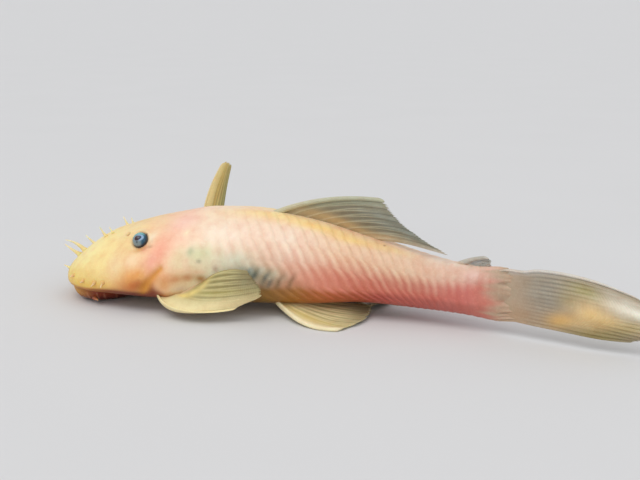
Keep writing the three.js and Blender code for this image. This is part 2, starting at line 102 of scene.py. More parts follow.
# Tentacles: place, angle, length in millimetres, lean and curl
TENTACLES = (
    (0.035, 63.0, 4.3, 26, 0.08), (0.052, 64.0, 6.6, 42, -0.32), (0.11, 68.0, 2.6, 50, 0.1),
    (0.126, 70.0, 1.6, 52, 0.1), (0.022, 26.0, 1.5, 20, 0.1), (0.06, 10.0, 0.9, -35, 0.0),
    (0.095, 5.0, 0.9, -50, 0.0), (0.126, 3.5, 1.3, -62, 0.0), (0.148, 3.0, 1.3, -72, 0.0),
)
LEFT_ONLY = 1  # the longest tentacle grows on the left only
# Paints from root to tip: tentacles, papillae of the snout's rim, teeth and barbels
SNOUT_PAINTS, RIM_PAINTS = ("f0d98e", "f6ebc6"), ("e6b870", "f6d6b0")
TOOTH_PAINTS, BARBEL_PAINTS = ("c98a48", "e0b070"), ("9c5030", "c8905c")
TEETH_IN_ROW = 16
MOUTH_AT, MOUTH_REACH, MOUTH_HALF_WIDTH = 0.1, 0.08, 0.124
MOUTH_WIDENING = MOUTH_HALF_WIDTH / MOUTH_REACH
MOUTH_TOP, MOUTH_OPEN = 4.0, 2.4  # millimetres
DISC_RADIUS = MOUTH_REACH * STANDARD_LENGTH
# Profile of the lips from the opening round the rim: share, radius and height
LIP_PROFILE = np.array((
    (0, MOUTH_OPEN + 0.2, MOUTH_TOP), (0.07, MOUTH_OPEN - 0.1, 2.4),
    (0.13, MOUTH_OPEN + 0.4, 0.9), (0.2, MOUTH_OPEN + 1.3, 0.25),
    (0.56, DISC_RADIUS - 2.9, 0.2), (0.68, DISC_RADIUS - 1.7, 0.3),
    (0.76, DISC_RADIUS - 0.8, 0.85), (0.82, DISC_RADIUS - 0.2, 1.7),
    (0.88, DISC_RADIUS + 0.12, 2.6), (0.94, DISC_RADIUS + 0.1, MOUTH_TOP),
    (1, MOUTH_OPEN + 0.2, MOUTH_TOP),
))


# The body's form

def smooth(x, low=0.0, high=1.0):
    """A soft step from 0 at low to 1 at high."""
    t = np.clip((x - low) / (high - low), 0, 1)
    return t * t * (3 - 2 * t)


def bell(x):
    return np.exp(-x * x)


def unit(vectors):
    return vectors / (np.linalg.norm(vectors, axis=-1, keepdims=True) + 1e-12)


def outline(column, at):
    """A smooth curve through one column of the stations."""
    places, values = STATIONS[:, 0], STATIONS[:, column]
    numbers = np.arange(len(places))
    before, after = np.maximum(numbers - 1, 0), np.minimum(numbers + 1, numbers[-1])
    slopes = (values[after] - values[before]) / (places[after] - places[before])
    i = np.clip(np.searchsorted(places, at, side="right") - 1, 0, numbers[-2])
    span = places[i + 1] - places[i]
    t = np.clip((at - places[i]) / span, 0, 1)
    rise = values[i + 1] - values[i]
    bow = (1 - t) * (slopes[i] * span - rise) - t * (slopes[i + 1] * span - rise)
    return values[i] + t * rise + t * (1 - t) * bow


def middle_line(at):
    """The middle line on the floor, and its heading. It bends left in the tail."""
    x = np.full(at.shape, -ORIGIN_AT)
    y, heading, done = np.zeros(at.shape), np.zeros(at.shape), np.zeros(at.shape)
    for start, stop, turn in BENDS:
        past = at > start
        run = np.where(past, start - done, 0)
        x += run * np.cos(heading)
        y += run * np.sin(heading)
        arc = np.where(past, np.minimum(at, stop) - start, 0)
        swing = radians(turn) * arc / (stop - start)
        chord = arc * np.sinc(swing / 2 / pi)
        x += chord * np.cos(heading + swing / 2)
        y += chord * np.sin(heading + swing / 2)
        heading += swing
        done += run + arc
    x += (at - done) * np.cos(heading)
    y += (at - done) * np.sin(heading)
    return x * STANDARD_LENGTH, y * STANDARD_LENGTH, heading


def place(at, side, up):
    """Shares along, across and up become points in millimetres."""
    at, side, up = np.broadcast_arrays(at, side, up)
    x, y, heading = middle_line(at)
    side = side * STANDARD_LENGTH
    up = up * STANDARD_LENGTH + RIDE_HEIGHT
    return np.stack((x - side * np.sin(heading), y + side * np.cos(heading), up), -1)


def side_angle(angle):
    """Degrees above the waist of a side, from 90 on the back to -90 on the belly."""
    return np.where(angle > 90, 180 - angle, angle)


def section(at, angle):
    """How far to the side and how high the cross-section reaches, as shares."""
    nose = np.sqrt(1 - (1 - np.clip(at / NOSE_LENGTH, 0, 1)) ** 2)
    low = side_angle(angle) < 0
    waist = NOSE_HEIGHT + (outline(WAIST, at) - NOSE_HEIGHT) * nose
    rim = np.where(low, outline(BELLY, at), outline(BACK, at))
    rim = NOSE_HEIGHT + (rim - NOSE_HEIGHT) * nose
    power = 2 / np.where(low, BELLY_ROUNDNESS, BACK_ROUNDNESS)
    c = np.cos(np.radians(angle))
    s = np.abs(np.sin(np.radians(angle)))
    side = outline(HALF_WIDTH, at) * nose * np.sign(c) * np.abs(c) ** power
    return side, waist + (rim - waist) * s ** power


def swelling(at, angle):
    side = side_angle(angle)
    return sum(
        rise * bell((at - a) / along) * bell((side - b) / around)
        for a, b, rise, along, around in SWELLINGS
    )


def skin_point(at, angle, lift=0.0):
    """A point of the skin, pushed out square to its cross-section."""
    at, angle = np.broadcast_arrays(at, angle)
    side, up = section(at, angle)
    side_b, up_b = section(at, np.minimum(angle + 1.5, 269.9))
    side_a, up_a = section(at, np.maximum(angle - 1.5, -89.9))
    out_side, out_up = up_b - up_a, side_a - side_b
    size = np.hypot(out_side, out_up) + 1e-12
    rise = (lift + swelling(at, angle) * smooth(at / 0.03)) / STANDARD_LENGTH
    point = place(at, side + out_side / size * rise, up + out_up / size * rise)
    point[..., 2] = np.maximum(point[..., 2], 0)
    return point


def skin_normal(at, angle):
    across = skin_point(at, angle + ANGLE_STEP) - skin_point(at, angle - ANGLE_STEP)
    along = skin_point(at + PLACE_STEP, angle) - skin_point(at - PLACE_STEP, angle)
    return unit(np.cross(across, along))


def row_edges(at):
    """Angles at the edges of the rows of plates."""
    to_tail = smooth(at, 0.55, 0.85)[..., None]
    return ROW_EDGES_TRUNK * (1 - to_tail) + ROW_EDGES_TAIL * to_tail


def slant(at, angle):
    """How far a ring of plates leans back towards the belly."""
    hump = smooth(at, 0.28, 0.47) * (1 - smooth(at, 0.6, 0.98) * 0.95)
    return PLATE_SLANT * hump * (0.6 - np.maximum(side_angle(angle), -40) / 90)


def on_side(side, angle):
    """An angle counted up from the waist, on the left or the right."""
    return angle if side == RIGHT else 180.0 - angle


# Making and painting pieces

def linear(text):
    """A paint given as six hex digits, as linear red, green and blue."""
    v = np.array([int(text[i:i + 2], 16) / 255 for i in (0, 2, 4)])
    return np.where(v <= 0.04045, v / 12.92, ((v + 0.055) / 1.055) ** 2.4)


def mixed(paint, other, amount):
    amount = np.asarray(amount)[..., None]
    return paint * (1 - amount) + other * amount


def glazed(paint, text, amount):
    """A paint with another over it, given as hex digits."""
    return mixed(paint, linear(text), amount)


def between(text, other, amount):
    """A paint between two, given as hex digits."""
    return mixed(linear(text), linear(other), amount)


def line_through(at, stops):
    return np.interp(at, list(stops), list(stops.values()))


def ramp(at, stops):
    """A coat of paint that changes along the body through its stops."""
    paints = np.array([linear(text) for text in stops.values()])
    return np.stack([np.interp(at, list(stops), channel) for channel in paints.T], -1)


def dabbed(paint, a, b, dabs):
    """Soft dabs of paint."""
    for at, across, reach_a, reach_b, colour, strength in dabs:
        amount = strength * bell((a - at) / reach_a) * bell((b - across) / reach_b)
        paint = glazed(paint, colour, amount)
    return paint


def wrapped(name, columns, rows, form, *given):
    """A grid wrapped over a form. form takes what is given, then u and v, from 0 to 1. It
    returns points in millimetres and values to keep on the points, a paint among them."""
    bpy.ops.mesh.primitive_grid_add(
        x_subdivisions=columns, y_subdivisions=rows, size=2, calc_uvs=False)
    piece = bpy.context.object
    piece.name = piece.data.name = name
    mesh = piece.data
    flat = np.empty(len(mesh.vertices) * 3)
    mesh.vertices.foreach_get("co", flat)
    flat = flat.reshape(-1, 3)
    points, kept = form(*given, (flat[:, 0] + 1) / 2, (flat[:, 1] + 1) / 2)
    mesh.vertices.foreach_set("co", (points * MM).ravel())
    for key, values in kept.items():
        if values.ndim == 2:
            rgba = np.insert(np.clip(values, 0, 1), 3, 1, axis=1)
            layer = mesh.color_attributes.new(name=key, type="FLOAT_COLOR", domain="POINT")
            layer.data.foreach_set("color", rgba.ravel())
        else:
            layer = mesh.attributes.new(name=key, type="FLOAT", domain="POINT")
            layer.data.foreach_set("value", values)
    mesh.update()
    closed()
    return piece


def closed():
    """Merges what meets in the new piece, turns its faces out and shades it smooth."""
    bpy.ops.object.mode_set(mode="EDIT")
    bpy.ops.mesh.select_all(action="SELECT")
    bpy.ops.mesh.remove_doubles(threshold=MERGE_DISTANCE)
    bpy.ops.mesh.normals_make_consistent(inside=False)
    bpy.ops.object.mode_set(mode="OBJECT")
    bpy.ops.object.shade_smooth()


def joined(name, parts):
    bpy.ops.object.select_all(action="DESELECT")
    for part in parts:
        part.select_set(True)
    piece = bpy.context.view_layer.objects.active = parts[0]
    bpy.ops.object.join()
    piece.name = piece.data.name = name
    return piece


# Finishes

def wired(node, inputs):
    for socket, source in inputs.items():
        if isinstance(source, bpy.types.NodeSocket):
            node.id_data.links.new(source, node.inputs[socket])
        else:
            node.inputs[socket].default_value = source


def added(shader, kind, output, inputs, **values):
    """Adds a node beside the shader, wires its inputs and returns one of its outputs."""
    node = shader.id_data.nodes.new(kind)
    for key, value in values.items():
        setattr(node, key, value)
    wired(node, inputs)
    return node.outputs[output]


def new_material(name):
    material = bpy.data.materials.new(name)
    material.use_nodes = True
    return material, material.node_tree.nodes["Principled BSDF"]


def finish(name, roughness, mottle, grain, pores=None, specks=None, bars=None, flesh=0.15,
           flesh_reach=0.0015, gloss=0.45, coat=0.0, coat_roughness=0.2, veil=False):
    """A finish over the paint kept on the points. mottle and specks are a scale, an amount
    or size, and a tint. grain, pores and the bars across fin rays are a scale and a depth in
    millimetres. A veil lets the skin between fin rays show what is behind it."""
    material, shader = new_material(name)

    def kept(key, output="Fac"):
        return added(shader, "ShaderNodeAttribute", output, {}, attribute_name=key)

    def noise(scale, detail, rough):
        inputs = {"Vector": where, "Scale": scale, "Detail": detail, "Roughness": rough}
        return added(shader, "ShaderNodeTexNoise", "Fac", inputs)

    def cells(scale):
        inputs = {"Vector": where, "Scale": scale}
        return added(shader, "ShaderNodeTexVoronoi", "Distance", inputs)

    def ranged(value, low, high, top, bottom=0.0):
        inputs = {"Value": value, "From Min": low, "From Max": high,
                  "To Min": bottom, "To Max": top}
        return added(shader, "ShaderNodeMapRange", "Result", inputs)

    def over(kind, amount, below, tint):
        inputs = {0: amount, 6: below, 7: (*tint, 1.0)}
        return added(shader, "ShaderNodeMix", 2, inputs, data_type="RGBA", blend_type=kind)

    def bumped(height, strength, depth, **normal):
        inputs = {"Height": height, "Strength": strength, "Distance": depth * MM, **normal}
        return added(shader, "ShaderNodeBump", "Normal", inputs)

    def maths(operation, *values):
        return added(shader, "ShaderNodeMath", 0, dict(enumerate(values)), operation=operation)

    where = added(shader, "ShaderNodeTexCoord", "Object", {})
    clouds = ranged(noise(mottle[0], 5.0, 0.6), 0.42, 0.72, mottle[1])
    paint = over("MULTIPLY", clouds, kept("paint", "Color"), linear(mottle[2]))
    fine = noise(grain[0], 3.0, 0.65)
    paint = over("SOFT_LIGHT", ranged(fine, 0.5, 0.8, 0.3), paint, (1.0, 0.97, 0.9))
    if specks:
        scale, size, tint = specks
        paint = over("MIX", ranged(cells(scale), size, size * 0.5, 0.75), paint, linear(tint))
    normal = bumped(fine, 0.6, grain[1])
    if pores:
        pits = ranged(cells(pores[0]), 0.0, 0.45, 1.0)
        normal = bumped(pits, 0.7, pores[1], Normal=normal)
    if bars:
        wave = maths("SINE", maths("MULTIPLY", kept("along"), bars[0]))
        normal = bumped(maths("MULTIPLY", wave, kept("ray")), 0.6, bars[1], Normal=normal)
    wired(shader, {
        "Base Color": paint, "Normal": normal,
        "Roughness": ranged(fine, 0.3, 0.7, roughness[1], roughness[0]),
        "Subsurface Weight": flesh, "Subsurface Radius": (1.0, 0.42, 0.28),
        "Subsurface Scale": flesh_reach, "Specular IOR Level": gloss,
        "Coat Weight": coat, "Coat Roughness": coat_roughness,
    })
    if veil:
        wired(shader, {"Alpha": kept("veil")})
    return material


SKIN = finish(
    "pleco_skin", roughness=(0.38, 0.56), mottle=(330, 0.28, "e2a184"), grain=(2300, 0.05),
    pores=(1500, 0.035), specks=(121, 0.06, "8a6650"), flesh=0.22, flesh_reach=0.0022,
    coat=0.06, coat_roughness=0.3,
)
FIN = finish(
    "fin_membrane_and_rays", roughness=(0.34, 0.5), mottle=(420, 0.22, "c9a878"),
    grain=(3200, 0.03), bars=(330, 0.03), flesh=0.12, flesh_reach=0.0008, veil=True,
)
LIP = finish(
    "lip_flesh", roughness=(0.42, 0.58), mottle=(600, 0.3, "d88c70"), grain=(3000, 0.05),
    pores=(2600, 0.04), flesh=0.25,
)
TENTACLE = finish(
    "tentacle_flesh", roughness=(0.35, 0.5), mottle=(700, 0.15, "dba070"),
    grain=(3600, 0.03), flesh=0.3, flesh_reach=0.001,
)
EYE = finish(
    "eye_gloss", roughness=(0.04, 0.09), mottle=(2600, 0.25, "1c4a66"), grain=(6000, 0.004),
    flesh=0.0, gloss=0.4, coat=0.5, coat_roughness=0.03,
)
TOOTH = finish(
    "tooth_enamel", roughness=(0.2, 0.3), mottle=(900, 0.2, "c08040"), grain=(5000, 0.01),
    flesh=0.1,
)


def dressed(piece, material, slot_name, *nodes):
    """Gives a piece its finish and body, and hides the CAD nodes that it replaces. slot_name is not
    used.
    """
    piece.data.materials.clear()
    piece.data.materials.append(material)
    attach(piece, "root")
    if nodes:
        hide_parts(*nodes)
    return piece


# The skin

# Coats of paint: place along the body and paint
UPPER_COAT = {
    0.0: "f0d880", 0.08: "f7e090", 0.15: "f8de98", 0.2: "f6d396", 0.25: "f8cca0", 0.3: "fbcaaa",
    0.36: "fae1c4", 0.44: "f8dac0", 0.55: "f5dcc4", 0.66: "ebc8a6", 0.8: "e2c0a0",
    0.9: "dfb8a0", 1.0: "d6ac98",
}
FLANK_COAT = {
    0.0: "eac76a", 0.1: "ecc86e", 0.17: "edbd76", 0.22: "e9ab6a", 0.27: "eeb688",
    0.33: "ead6a8", 0.4: "dfd8b2", 0.48: "dac2a2", 0.55: "dda488", 0.63: "dc8c74",
    0.72: "cf7660", 0.84: "cb6e5c", 0.94: "d2786c", 1.0: "d08672",
}
# The belly's own golden and orange browns, darkened with painted shade of the underside, deepest in
# the red-browns under the cheeks
BELLY_COAT = {
    0.0: "d09a40", 0.1: "bc7c30", 0.16: "8a4418", 0.22: "762e12", 0.27: "883e1e", 0.3: "b4784a",
    0.34: "b98d54", 0.42: "96743a", 0.5: "906826", 0.57: "a66e30", 0.64: "bc6842",
    0.75: "b25444", 0.9: "b9655a", 1.0: "c27666",
}
# Lines where the coats meet: place along the body and angle
BELLY_LINE = {
    0.0: -8, 0.12: -6, 0.2: -5, 0.22: -6, 0.24: -8, 0.262: -3, 0.285: -5, 0.3: -10, 0.4: -14,
    0.46: -8, 0.5: -2, 0.58: -2, 0.61: -7, 0.66: -15, 1.0: -17,
}
FLESH_LINE = {
    0.0: 4, 0.12: 6, 0.2: 12, 0.3: 16, 0.4: 22, 0.5: 20, 0.58: 20, 0.65: 18, 0.72: 13, 0.8: 6,
    0.87: 4, 0.93: 16, 1.0: 30,
}
# Dabs: place, angle, reach along and around, paint and strength
SKIN_DABS = (
    # fcecaa on top of the snout is a painted highlight
    (0.09, 48, 0.05, 26, "fcecaa", 0.7), (0.05, 12, 0.04, 12, "eecb66", 0.6),
    (0.1, 0, 0.07, 5, "e6bc52", 0.7), (0.175, 22, 0.02, 14, "f8dcae", 0.6),
    (0.215, 24, 0.02, 8, "fbdcb4", 0.7), (0.19, 62, 0.03, 12, "fae2a8", 0.6),
    # eaa868 under the eye is painted shade; fdebca just behind the eye is a painted highlight
    (0.224, 36, 0.012, 4, "eaa868", 0.8), (0.238, 35, 0.008, 4, "e59878", 0.7),
    (0.251, 37, 0.006, 1.5, "b47c54", 0.7), (0.249, 49, 0.01, 7, "fdebca", 0.75),
    (0.228, 7, 0.024, 7, "f6b864", 0.8), (0.228, 0, 0.03, 6, "c06016", 0.8),
    # 8c3e16 and 7c3418 below the cheek are painted shade
    (0.247, -1, 0.014, 5, "8c3e16", 0.85), (0.262, -4, 0.012, 6, "7c3418", 0.8),
    (0.214, 3, 0.005, 2.5, "e09a50", 0.5), (0.225, 9, 0.005, 2, "db8c44", 0.5),
    (0.236, 11, 0.006, 3, "e8943c", 0.55), (0.238, 3, 0.005, 2.5, "c27434", 0.55),
    (0.246, 9, 0.005, 4, "e7a456", 0.6), (0.28, 5, 0.008, 6, "ecba7e", 0.7),
    (0.277, 33, 0.02, 16, "f9ac90", 0.75), (0.262, 22, 0.014, 8, "f4a892", 0.65),
    (0.31, 66, 0.035, 14, "fdd2c2", 0.7), (0.326, 48, 0.008, 4, "fff3cf", 0.7),
    (0.25, 64, 0.02, 10, "fadcae", 0.5), (0.3, 5, 0.014, 7, "e69a5c", 0.6),
    (0.32, 24, 0.018, 9, "eedcae", 0.7), (0.367, 27, 0.03, 8, "d3d9a8", 0.75),
    (0.345, 29, 0.007, 4, "a9b890", 0.6), (0.366, 19.5, 0.005, 1.8, "7e7a5c", 0.6),
    (0.328, 11.5, 0.02, 2.5, "f4d0a6", 0.8), (0.362, 9.5, 0.018, 2.2, "ecc8a0", 0.75),
    # d2935c, c48650, a8762a and d89c5e at the pectoral's base are painted shade of the hollow there
    (0.32, 4.5, 0.014, 4.5, "d2935c", 0.85), (0.342, 5, 0.014, 4, "c48650", 0.9),
    (0.37, 3.5, 0.012, 3.5, "a8762a", 0.9), (0.297, 1, 0.012, 5, "d89c5e", 0.8),
    (0.328, -5, 0.014, 4, "cbae96", 0.7), (0.403, 12, 0.006, 3, "8c5c44", 0.6),
    (0.41, 46, 0.04, 12, "feefda", 0.6), (0.44, 18, 0.035, 9, "dee2c6", 0.8),
    (0.46, 8, 0.02, 6, "a9b8a8", 0.75), (0.5, 7, 0.04, 7, "b2b290", 0.75),
    (0.5, 78, 0.11, 12, "fbdc90", 0.85), (0.6, 70, 0.07, 8, "fbd886", 0.85),
    (0.68, 62, 0.06, 8, "f8d284", 0.8), (0.76, 68, 0.06, 10, "f2d296", 0.7),
    (0.88, 78, 0.07, 22, "e4d8c6", 0.7), (0.95, 40, 0.02, 16, "eccac0", 0.5),
)
# Streaks that lean with the plates: place, angle, reach along and around, and paint
SLATE_STREAKS = (
    (0.484, 6, 0.008, 6, "304c46"), (0.473, 9, 0.006, 4, "7c9490"),
    (0.507, 4, 0.006, 6, "4a5652"), (0.516, 0, 0.006, 5, "5c5c4e"),
    (0.535, 1, 0.006, 6, "6e5838"), (0.56, 1, 0.006, 6, "84603c"),
    (0.497, 9, 0.005, 4, "c4c4b0"), (0.523, 7, 0.006, 4, "c8c0a4"),
    (0.547, 4, 0.006, 4, "c0a688"),
)
# Painted shade in the grooves between the plates: darker, and pinker where the flesh shows
GROOVE_TINT = np.array((0.9, 0.72, 0.66))
SHEATH = 0.03  # how far the flesh reaches over the rays of the tail fin
TAIL_MIDDLE = STANDARD_LENGTH * 0.064 + RIDE_HEIGHT
MOUTH_CENTRE = place(MOUTH_AT, 0.0, 0.0)
RINGS_OF_PLATE = (0.1, 0.23, 0.36, 0.49, 0.61, 0.72, 0.81, 0.88, 0.94, 1.0)
BELLY_LINES, ROW_LINES, BACK_LINES = 14, (16, 16, 16, 26, 18), 8
HALF_LINES = BELLY_LINES + sum(ROW_LINES) + BACK_LINES


def head_and_plate_rings():
    """The rings: place, number of the plate or -1, and share along the plate."""
    snout = NOSE_LENGTH * (1 - np.cos(np.linspace(0, pi / 2, 60)))
    cheeks = np.concatenate((
        np.linspace(0.12, 0.178, 20)[1:], np.linspace(0.178, 0.255, 44)[1:],
        np.linspace(0.255, PLATES_START, 20)[1:],
    ))
    stalk_end = np.linspace(PLATES_END, 1.0, 5)[1:]
    sheath = 1 + SHEATH * np.sin(np.linspace(0, pi / 2, 13))[1:]
    rings = [(at, -1, 0.0) for at in (*snout, *cheeks)]
    for plate in range(PLATE_COUNT):
        for share in RINGS_OF_PLATE:
            rings.append((PLATES_START + PLATE_PITCH * (plate + share), plate, share))
    rings += [(at, -1, 0.0) for at in (*stalk_end, *sheath)]
    return np.array(rings)


RINGS = head_and_plate_rings()


def lines_round(at):
    """Angles of the lines along one side, and the share of each across its row of plates,
    or -1 outside the rows."""
    edges = row_edges(at)
    belly, back = np.full(at.shape, -90.0), np.full(at.shape, 90.0)
    angles, shares = [], []

    def stretch(a, b, count, in_row=False):
        for t in np.arange(count) / count:
            angles.append(a * (1 - t) + b * t)
            shares.append(np.full(at.shape, t if in_row else -1.0))

    stretch(belly, edges[:, 0], BELLY_LINES)
    for row, count in enumerate(ROW_LINES):
        stretch(edges[:, row], edges[:, row + 1], count, True)
    stretch(edges[:, -1], back, BACK_LINES)
    stretch(back, back, 1)
    return np.array(angles), np.array(shares)


def skin_grid(u, v):
    """Where each point of the skin lies on the body, on its side and on its plate."""
    line = np.rint(u * HALF_LINES * 2).astype(int)
    ring = np.rint(v * (len(RINGS) - 1)).astype(int)
    angles, shares = lines_round(RINGS[:, 0])
    mirror = line > HALF_LINES
    index = np.where(mirror, 2 * HALF_LINES - line, line)
    side, share = angles[index, ring], shares[index, ring]
    angle = np.where(mirror, 180 - side, side)
    at, plate, along = RINGS[ring].T
    crown = np.where(share >= 0, 1 - np.abs(2 * share - 1) ** 4, 0)
    fade = smooth(0.2 + plate / 9) * (1 - 0.4 * plate / PLATE_COUNT) * (plate >= 0)
    scallop = PLATE_PITCH * SCALLOP * (crown - 0.55) * fade * (share >= 0)
    at = at + slant(at, angle) + scallop * (1 - smooth(at, 0.96, 0.985))
    falling = 0.5 + 0.5 * np.cos((along - PLATE_TOP) / (1 - PLATE_TOP) * pi)
    return SimpleNamespace(
        at=at, angle=angle, side=side, plate=plate, along=along, crown=crown, fade=fade,
        swell=np.where(along < PLATE_TOP, smooth(along, -0.1, PLATE_TOP), falling),
        in_row=(share >= 0) & (plate >= 0),
    )


def plate_relief(g):
    """How far the plates lift the skin, in millimetres."""
    ridged = 0.35 + 0.65 * bell((g.side - 12) / 42)
    faint_back = np.where(g.in_row, 1, 0.3 * (g.side > 60))
    return PLATE_RISE * g.fade * g.swell * ridged * (0.72 + 0.28 * g.crown) * faint_back


def thinned_root(g, points):
    """Thins the flesh out over the tail fin, to a ragged edge."""
    up = (points[:, 2] - RIDE_HEIGHT) / STANDARD_LENGTH
    past = np.clip((g.at - 1) / SHEATH, 0, 1)
    upper = smooth(g.side, 35, 65)
    jagged = (0.3 * np.sin(g.side / 5) + 0.2 * np.sin(g.side / 2.3 + 1)) * (1 - upper)
    g.at = g.at + np.where(g.at > 1, g.at - 1, 0) * (jagged - 0.35 * upper)
    outward = points - place(np.minimum(g.at, 1.0), 0.0, up)
    thinned = (1 - past) ** 1.5 * (1 + 0.35 * past * np.sin(g.side / 5.2) * np.sin(g.side / 13 + 1))
    narrowed = place(g.at, 0.0, up) + outward * thinned[:, None]
    narrowed[:, 2] += 0.1 * past * np.clip(TAIL_MIDDLE - narrowed[:, 2], 0, None)
    return np.where((g.at > 1)[:, None], narrowed, points)


def eye_seat(flank):
    """Centre of an eyeball, and its gaze: between square to the skin and straight out."""
    angle = on_side(flank, EYE_ANGLE)
    gaze = skin_normal(EYE_AT, angle) + np.array((0.05, flank * 0.55, 0.0))
    return skin_point(EYE_AT, angle, -EYE_DEPTH), unit(gaze)


def from_axis(points, centre, out):
    """How far points lie out along an axis, and how far off it."""
    offset = points - centre
    away = offset @ out
    return away, np.linalg.norm(offset - away[:, None] * out, axis=1)


def eye_and_nostril(points, flank):
    """Lifts the rims of an eye and a nostril, and returns how much painted shade to put in the
    crevice round the eye and in the nostril.
    """
    centre, out = eye_seat(flank)
    away, radial = from_axis(points, centre, out)
    near = (away > -2) & (radial < 5)
    collar = 1 - smooth(radial, EYE_RADIUS + 0.1, EYE_RADIUS + 1.7)
    lift = 0.9 * collar * (EYE_COLLAR - away) + 0.2 * bell((radial - EYE_RADIUS - 0.4) / 0.35)
    points += np.where(near, lift, 0)[:, None] * out
    eye_rim = np.where(near, 0.6 * bell((radial - 1.98) / 0.16), 0)

    angle = on_side(flank, NOSTRIL_ANGLE)
    out = skin_normal(NOSTRIL_AT, angle)
    away, radial = from_axis(points, skin_point(NOSTRIL_AT, angle), out)
    near = (np.abs(away) < 2) & (radial < 3)
    lift = 0.24 * bell((radial - 0.8) / 0.35) - 0.7 * bell(radial / 0.42)
    points += np.where(near, lift, 0)[:, None] * out
    return np.maximum(eye_rim, np.where(near, bell(radial / 0.5), 0))


def distance_to_fold(points, flank):
    """How far points lie from the fold behind the cheek."""
    path = np.array([skin_point(at, on_side(flank, float(angle))) for at, angle in GILL_FOLD])
    nearest = np.full(len(points), 1e9)
    for a, b in zip(path[:-1], path[1:]):
        t = np.clip(((points - a) @ (b - a)) / ((b - a) @ (b - a)), 0, 1)
        gap = np.linalg.norm(points - a - t[:, None] * (b - a), axis=1)
        nearest = np.minimum(nearest, gap)
    return nearest


def gill_fold(g, points, flank):
    """Draws the skin in along the fold, and returns how much."""
    gap = distance_to_fold(points, flank)
    outward = unit(points - place(g.at, 0.0, outline(WAIST, g.at)))
    fading = smooth(g.side, -26, -4)
    points -= (0.5 * fading * bell(gap / 0.75))[:, None] * outward
    return fading * bell(gap / (0.8 + 0.5 * bell((g.side + 2) / 9)))


def mouth_well(g, points):
    """Lifts the skin above the mouth's opening, and returns how much of it is throat, which is
    painted deep red darkened with painted shade.
    """
    x, y = points[:, 0] - MOUTH_CENTRE[0], points[:, 1] - MOUTH_CENTRE[1]
    reach = np.hypot(x, y / MOUTH_WIDENING)
    under = (g.side < 0) & (points[:, 2] < 6)
    sunk = 2.6 * (1 - smooth(reach, MOUTH_OPEN - 1.2, MOUTH_OPEN + 1.4))
    points[:, 2] += np.where(under, sunk, 0)
    return np.where(under, 1 - smooth(reach, MOUTH_OPEN - 0.4, MOUTH_OPEN + 1.2), 0)


def skin_paint(g, fold, rim, throat):
    """Coats, dabs, grooves between the plates darkened with painted shade and ridges lightened with
    painted highlights, streaks, rims darkened with painted shade, and the throat's painted shade.
    """
    height = g.side - line_through(g.at, FLESH_LINE)
    uneven = 3.2 + 2.2 * np.sin(g.plate * 2.1 + g.side / 14)
    ragged = -uneven * np.sin((g.along + 0.1) * 2 * pi) * g.in_row
    upper = smooth(height + ragged, -20, 22)
    paint = mixed(ramp(g.at, FLANK_COAT), ramp(g.at, UPPER_COAT), upper)
    # The lowest coat carries painted shade of the underside
    belly = 1 - smooth(g.side - line_through(g.at, BELLY_LINE), -7, 7)
    paint = mixed(paint, ramp(g.at, BELLY_COAT), belly)
    pale_belly = (1 - smooth(g.side, -66, -44)) * (1 - smooth(g.at, 0.5, 0.68))
    paint = glazed(paint, "ecd0ae", pale_belly)
    paint = dabbed(paint, g.at, g.side, SKIN_DABS)

    ridge = np.where(g.in_row, g.swell * (0.8 + 0.2 * g.crown), 0.6) * (g.plate >= 0)
    depth = g.fade * (0.3 + 0.7 * bell((height - 8) / 20))
    depth *= 0.45 + 0.55 * smooth(g.crown, 0.1, 0.9)
    # Painted shade: the grooves between the plates are darkened and tinted pinker, the pink being
    # the flesh's own
    groove = 0.42 * smooth(0.42 - ridge, -0.1, 0.42) * smooth(g.side, -70, -30)
    paint = mixed(paint, paint * GROOVE_TINT, depth * groove)
    # Painted highlight: the ridges of the plates are lightened
    paint = mixed(paint, np.minimum(paint * 1.08 + 0.03, 1), 0.4 * depth * smooth(ridge, 0.55, 1.0))

    for at, side, reach_at, reach_side, colour in SLATE_STREAKS:
        up = g.side - side
        streak = bell((g.at - at - 0.0012 * up) / reach_at) * bell(up / reach_side)
        paint = glazed(paint, colour, 0.85 * streak)
    paint = glazed(paint, "de9834", 0.85 * fold)
    # Painted shade in the crevice round each eye and in each nostril
    paint = glazed(paint, "7c5440", 0.7 * rim)
    ragged_root = 0.009 * np.sin(g.side / 7) + 0.006 * np.sin(g.side / 3 + 1)
    paint = glazed(paint, "bba48a", smooth(g.at + ragged_root, 0.966, 1.014))
    # The throat's deep red, darkened with painted shade inside the mouth
    return glazed(paint, "6d1f18", 0.95 * throat)


def skin_form(u, v):
    """One skin from the snout to the root of the tail fin."""
    g = skin_grid(u, v)
    points = skin_point(np.minimum(g.at, 1.0), g.angle, plate_relief(g))
    points = thinned_root(g, points)
    rim, fold = np.zeros(len(u)), np.zeros(len(u))
    for flank in (LEFT, RIGHT):
        rim = np.maximum(rim, eye_and_nostril(points, flank))
        fold = np.maximum(fold, gill_fold(g, points, flank))
    throat = mouth_well(g, points)
    points[:, 2] = np.maximum(points[:, 2], 0)
    return points, {"paint": skin_paint(g, fold, rim, throat)}


skin = wrapped("skin", HALF_LINES * 2, len(RINGS) - 1, skin_form)
dressed(skin, SKIN, "flank_skin", "head", "trunk", "tail_stalk")


# Eyes

